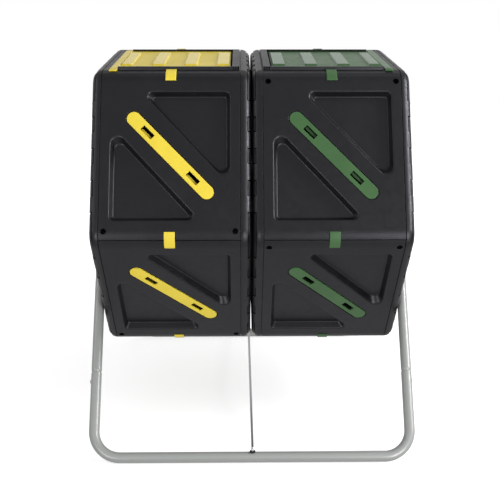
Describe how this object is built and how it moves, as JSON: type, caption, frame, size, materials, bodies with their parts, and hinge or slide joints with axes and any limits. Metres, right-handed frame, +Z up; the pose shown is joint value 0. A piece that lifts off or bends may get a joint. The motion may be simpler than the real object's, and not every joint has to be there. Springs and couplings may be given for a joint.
{
  "type": "compost tumbler",
  "caption": "Garden compost tumbler: six-sided drums side by side turn freely on an axle in a bent-tube stand, each with a sliding ribbed door.",
  "frame": {"origin": "on the floor under the middle of the axle", "axes": "+Z up, X along the axle with +X to the user's right, -Y towards the front"},
  "size_m": [0.6562, 0.7114, 0.7523],
  "materials": {
    "black_plastic": "moulded black polypropylene with a fine texture",
    "yellow_plastic": "moulded yellow polypropylene, satin",
    "green_plastic": "moulded green polypropylene, satin",
    "stand_tube": "grey powder coat on steel tube, satin",
    "zinc_steel": "zinc plated",
    "rubber": "moulded black rubber"
  },
  "bodies": {
    "stand": {"front_base_tube": "stand_tube", "rear_base_tube": "stand_tube", "front_left_leg": "stand_tube", "front_right_leg": "stand_tube", "rear_left_leg": "stand_tube", "rear_right_leg": "stand_tube", "tie_rod": "zinc_steel", "front_rod_grommet": "rubber", "rear_rod_grommet": "rubber", "axle_tube": "stand_tube", "centre_spacer": "black_plastic", "left_spacer": "black_plastic", "right_spacer": "black_plastic", "left_axle_plug": "zinc_steel", "left_axle_washer": "zinc_steel", "left_axle_bolt": "zinc_steel", "right_axle_plug": "zinc_steel", "right_axle_washer": "zinc_steel", "right_axle_bolt": "zinc_steel"},
    "left_drum": {"left_inner_end_cap": "black_plastic", "left_outer_end_cap": "black_plastic", "left_door_panel": "black_plastic", "left_side_panel_1": "black_plastic", "left_vent_strip_1": "yellow_plastic", "left_side_panel_2": "black_plastic", "left_vent_strip_2": "yellow_plastic", "left_side_panel_3": "black_plastic", "left_vent_strip_3": "yellow_plastic", "left_side_panel_4": "black_plastic", "left_vent_strip_4": "yellow_plastic", "left_side_panel_5": "black_plastic", "left_vent_strip_5": "yellow_plastic", "left_corner_clip_1": "yellow_plastic", "left_corner_clip_2": "yellow_plastic", "left_corner_clip_3": "yellow_plastic", "left_corner_clip_4": "yellow_plastic", "left_corner_clip_5": "yellow_plastic", "left_corner_clip_6": "yellow_plastic"},
    "left_door": {"left_door": "yellow_plastic"},
    "right_drum": {"right_inner_end_cap": "black_plastic", "right_outer_end_cap": "black_plastic", "right_door_panel": "black_plastic", "right_side_panel_1": "black_plastic", "right_vent_strip_1": "green_plastic", "right_side_panel_2": "black_plastic", "right_vent_strip_2": "green_plastic", "right_side_panel_3": "black_plastic", "right_vent_strip_3": "green_plastic", "right_side_panel_4": "black_plastic", "right_vent_strip_4": "green_plastic", "right_side_panel_5": "black_plastic", "right_vent_strip_5": "green_plastic", "right_corner_clip_1": "green_plastic", "right_corner_clip_2": "green_plastic", "right_corner_clip_3": "green_plastic", "right_corner_clip_4": "green_plastic", "right_corner_clip_5": "green_plastic", "right_corner_clip_6": "green_plastic"},
    "right_door": {"right_door": "green_plastic"}
  },
  "joints": [
    {"name": "left_drum_spin", "type": "hinge", "parent": "stand", "child": "left_drum", "pos_m": [-0.15, 0, 0.458], "axis": [1, 0, 0], "continuous": true},
    {"name": "right_drum_spin", "type": "hinge", "parent": "stand", "child": "right_drum", "pos_m": [0.15, 0, 0.458], "axis": [1, 0, 0], "continuous": true},
    {"name": "left_door_slide", "type": "slide", "parent": "left_drum", "child": "left_door", "axis": [-1, 0, 0], "range_m": [0, 0.17]},
    {"name": "right_door_slide", "type": "slide", "parent": "right_drum", "child": "right_door", "axis": [1, 0, 0], "range_m": [0, 0.17]}
  ]
}
